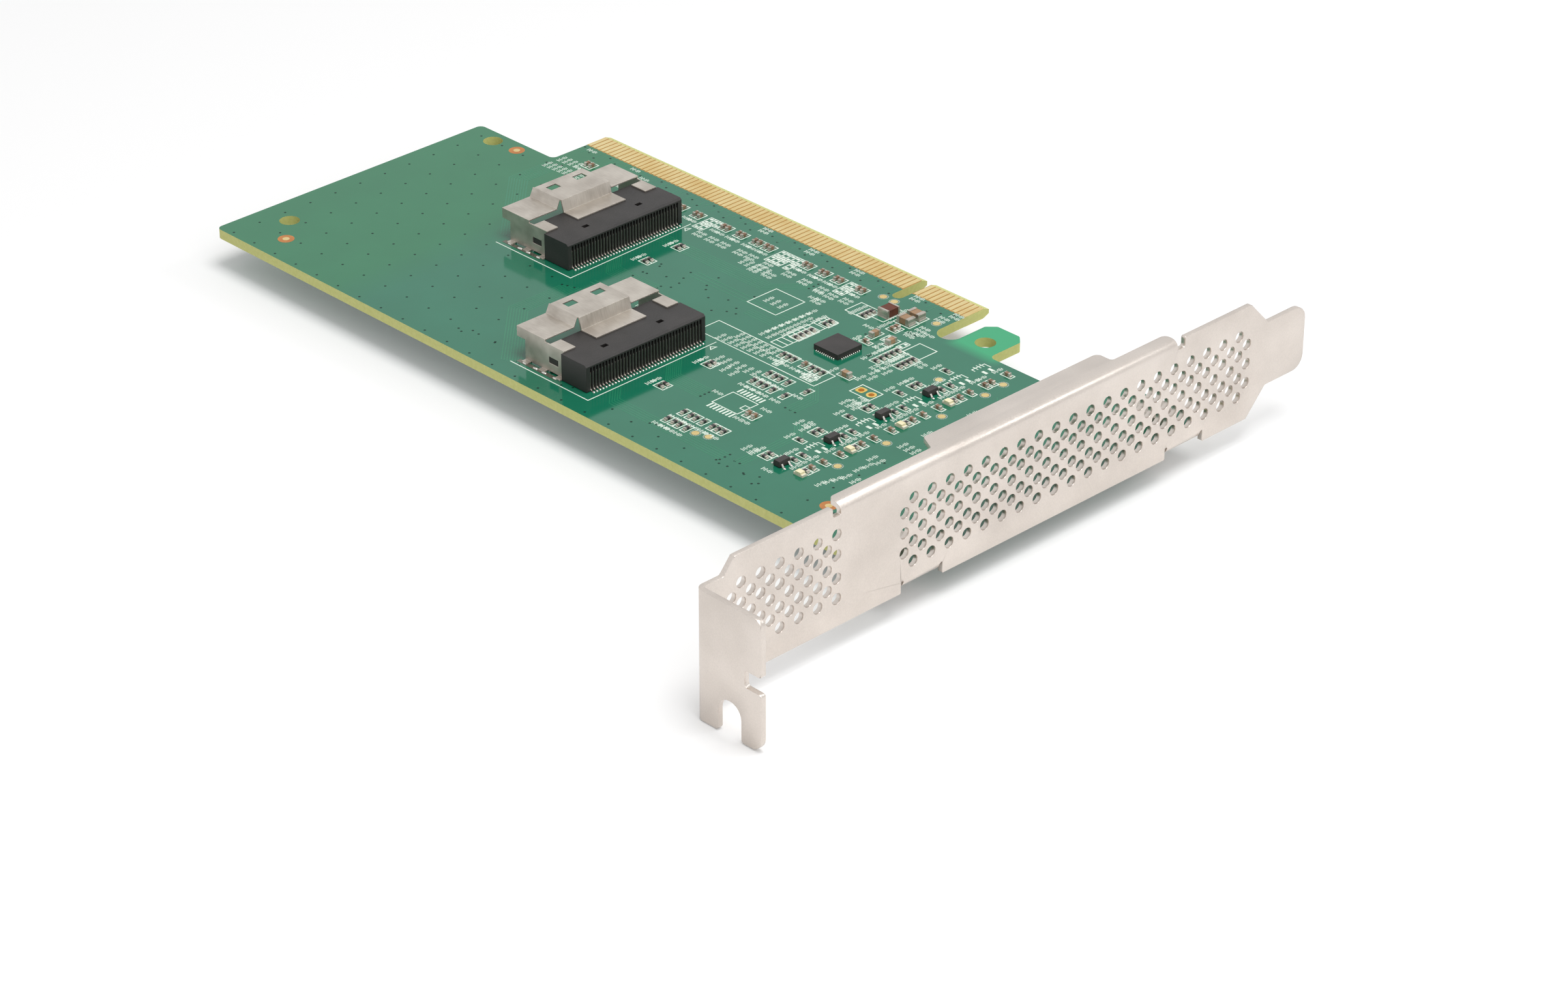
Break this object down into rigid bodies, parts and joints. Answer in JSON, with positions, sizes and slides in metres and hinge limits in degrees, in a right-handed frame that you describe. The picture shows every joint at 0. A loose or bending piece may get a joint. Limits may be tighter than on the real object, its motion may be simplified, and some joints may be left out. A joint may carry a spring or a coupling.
{
  "type": "nvme adapter card",
  "caption": "Expansion card with a card-edge connector, shielded cable sockets, small parts and a perforated full-height bracket",
  "frame": {"origin": "middle of the key notch, on the tip line of the card edge, in the component face", "axes": "+X along the card edge towards the bracket, +Y out of the card edge towards the host slot, +Z away from the component face"},
  "size_m": [0.1587, 0.12, 0.022],
  "materials": {
    "solder_mask": "green solder mask on glass-epoxy laminate",
    "gold": "hard gold plating",
    "bracket_steel": "nickel-plated steel sheet, satin",
    "screw_steel": "nickel-plated screw",
    "black_plastic": "black moulded liquid-crystal polymer",
    "tinned": "tin-plated copper alloy",
    "cage_metal": "stamped tin-plated sheet, satin",
    "chip_epoxy": "black moulded epoxy",
    "white_ceramic": "white light carrier",
    "light_resin": "cream casting resin",
    "brown_ceramic": "fired ceramic with tinned ends",
    "beige_ceramic": "fired ceramic with tinned ends",
    "dark_ceramic": "resistor glaze with tinned ends",
    "brown_ferrite": "brown moulded ferrite"
  },
  "bodies": {
    "root": {"circuit_board": "solder_mask", "edge_contacts_top": "gold", "edge_contacts_bottom": "gold", "bracket": "bracket_steel", "bracket_screws": "screw_steel", "port_a_housing": "black_plastic", "port_b_housing": "black_plastic", "port_a_contacts": "tinned", "port_b_contacts": "tinned", "port_a_cage": "cage_metal", "port_b_cage": "cage_metal", "controller_body": "chip_epoxy", "gate_chip_bodies": "chip_epoxy", "controller_terminals": "tinned", "gate_chip_leads": "tinned", "status_light_bases": "white_ceramic", "status_light_lenses": "light_resin", "lane_capacitors": "brown_ceramic", "bypass_capacitors": "brown_ceramic", "bulk_capacitors": "beige_ceramic", "chip_resistors": "dark_ceramic", "power_inductor": "brown_ferrite"}
  },
  "joints": []
}
